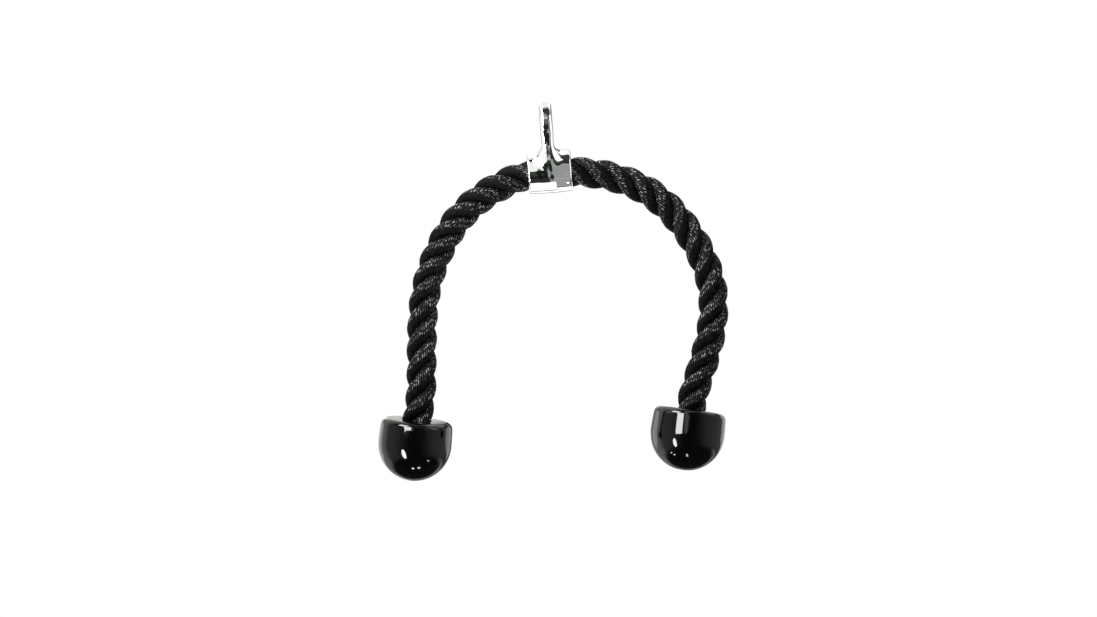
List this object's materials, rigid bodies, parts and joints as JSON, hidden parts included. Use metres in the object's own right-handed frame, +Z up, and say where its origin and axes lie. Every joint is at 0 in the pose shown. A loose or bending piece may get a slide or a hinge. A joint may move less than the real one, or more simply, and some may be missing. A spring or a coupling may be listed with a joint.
{
  "type": "triceps rope attachment",
  "caption": "Short thick laid rope held at its middle by a chromed eye fitting, with a moulded bell stopper on each end, for pulling by hand on a cable machine.",
  "frame": {"origin": "centre of the hole in the eye, where the machine's snap hook holds the part", "axes": "+X through the hole of the eye and along the sleeve, +Z up towards the hook, +Y to the back, where the grub screws are"},
  "size_m": [0.3604, 0.0831, 0.3769],
  "materials": {
    "chrome": "bright chrome plate over a cast and polished body",
    "black_steel": "black oxide",
    "zinc_steel": "zinc plate",
    "rope_black": "slick twisted synthetic yarn with a low sheen",
    "gloss_black": "glossy moulded plastic"
  },
  "bodies": {
    "fitting": {"eye_fitting": "chrome", "grub_screw_left": "black_steel", "grub_screw_right": "black_steel", "rope_middle": "rope_black"},
    "left_top": {"left_rope_top": "rope_black"},
    "left_upper": {"left_rope_upper": "rope_black"},
    "left_lower": {"left_rope_lower": "rope_black"},
    "left_tail": {"left_rope_tail": "rope_black", "left_ferrule": "zinc_steel", "left_stopper": "gloss_black"},
    "right_top": {"right_rope_top": "rope_black"},
    "right_upper": {"right_rope_upper": "rope_black"},
    "right_lower": {"right_rope_lower": "rope_black"},
    "right_tail": {"right_rope_tail": "rope_black", "right_ferrule": "zinc_steel", "right_stopper": "gloss_black"}
  },
  "joints": [
    {"name": "left_spread", "type": "hinge", "parent": "fitting", "child": "left_top", "pos_m": [-0.05641, 0, -0.06024], "axis": [0, 1, 0], "range_deg": [-11, 28], "stiffness_Nm_per_rad": 2.5, "springref_deg": 6.11, "deforming": ["left_rope_top", "rope_middle"]},
    {"name": "left_spread_mid", "type": "hinge", "parent": "left_top", "child": "left_upper", "pos_m": [-0.11039, 0, -0.10831], "axis": [0, 1, 0], "range_deg": [-11, 28], "stiffness_Nm_per_rad": 2.5, "springref_deg": 2.64, "deforming": ["left_rope_upper"]},
    {"name": "left_sway", "type": "hinge", "parent": "left_upper", "child": "left_lower", "pos_m": [-0.13629, 0.00012, -0.17633], "axis": [1, 0, 0], "range_deg": [-30, 30], "stiffness_Nm_per_rad": 2.5, "springref_deg": 0.29, "deforming": ["left_rope_lower"]},
    {"name": "left_spread_end", "type": "hinge", "parent": "left_lower", "child": "left_tail", "pos_m": [-0.14362, 0.00191, -0.24923], "axis": [0, 1, 0], "range_deg": [-5.5, 14], "stiffness_Nm_per_rad": 2.5, "springref_deg": 0.63, "deforming": ["left_rope_tail"]},
    {"name": "right_spread", "type": "hinge", "parent": "fitting", "child": "right_top", "pos_m": [0.0613, 0, -0.05653], "axis": [0, -1, 0], "range_deg": [-11, 28], "stiffness_Nm_per_rad": 2.5, "springref_deg": 3.93, "deforming": ["right_rope_top", "rope_middle"]},
    {"name": "right_spread_mid", "type": "hinge", "parent": "right_top", "child": "right_upper", "pos_m": [0.12507, 0, -0.10364], "axis": [0, -1, 0], "range_deg": [-11, 28], "stiffness_Nm_per_rad": 2.5, "springref_deg": -0.23, "deforming": ["right_rope_upper"]},
    {"name": "right_sway", "type": "hinge", "parent": "right_upper", "child": "right_lower", "pos_m": [0.15356, -0.00001, -0.1781], "axis": [1, 0, 0], "range_deg": [-30, 30], "stiffness_Nm_per_rad": 2.5, "springref_deg": -0.23, "deforming": ["right_rope_lower"]},
    {"name": "right_spread_end", "type": "hinge", "parent": "right_lower", "child": "right_tail", "pos_m": [0.13611, -0.00138, -0.25623], "axis": [0, -1, 0], "range_deg": [-5.5, 14], "stiffness_Nm_per_rad": 2.5, "springref_deg": -1, "deforming": ["right_rope_tail"]}
  ],
  "couplings": [
    {"joint": "left_spread_mid", "follows": "left_spread", "ratio": 1},
    {"joint": "left_spread_end", "follows": "left_spread", "ratio": 0.5},
    {"joint": "right_spread_mid", "follows": "right_spread", "ratio": 1},
    {"joint": "right_spread_end", "follows": "right_spread", "ratio": 0.5}
  ]
}
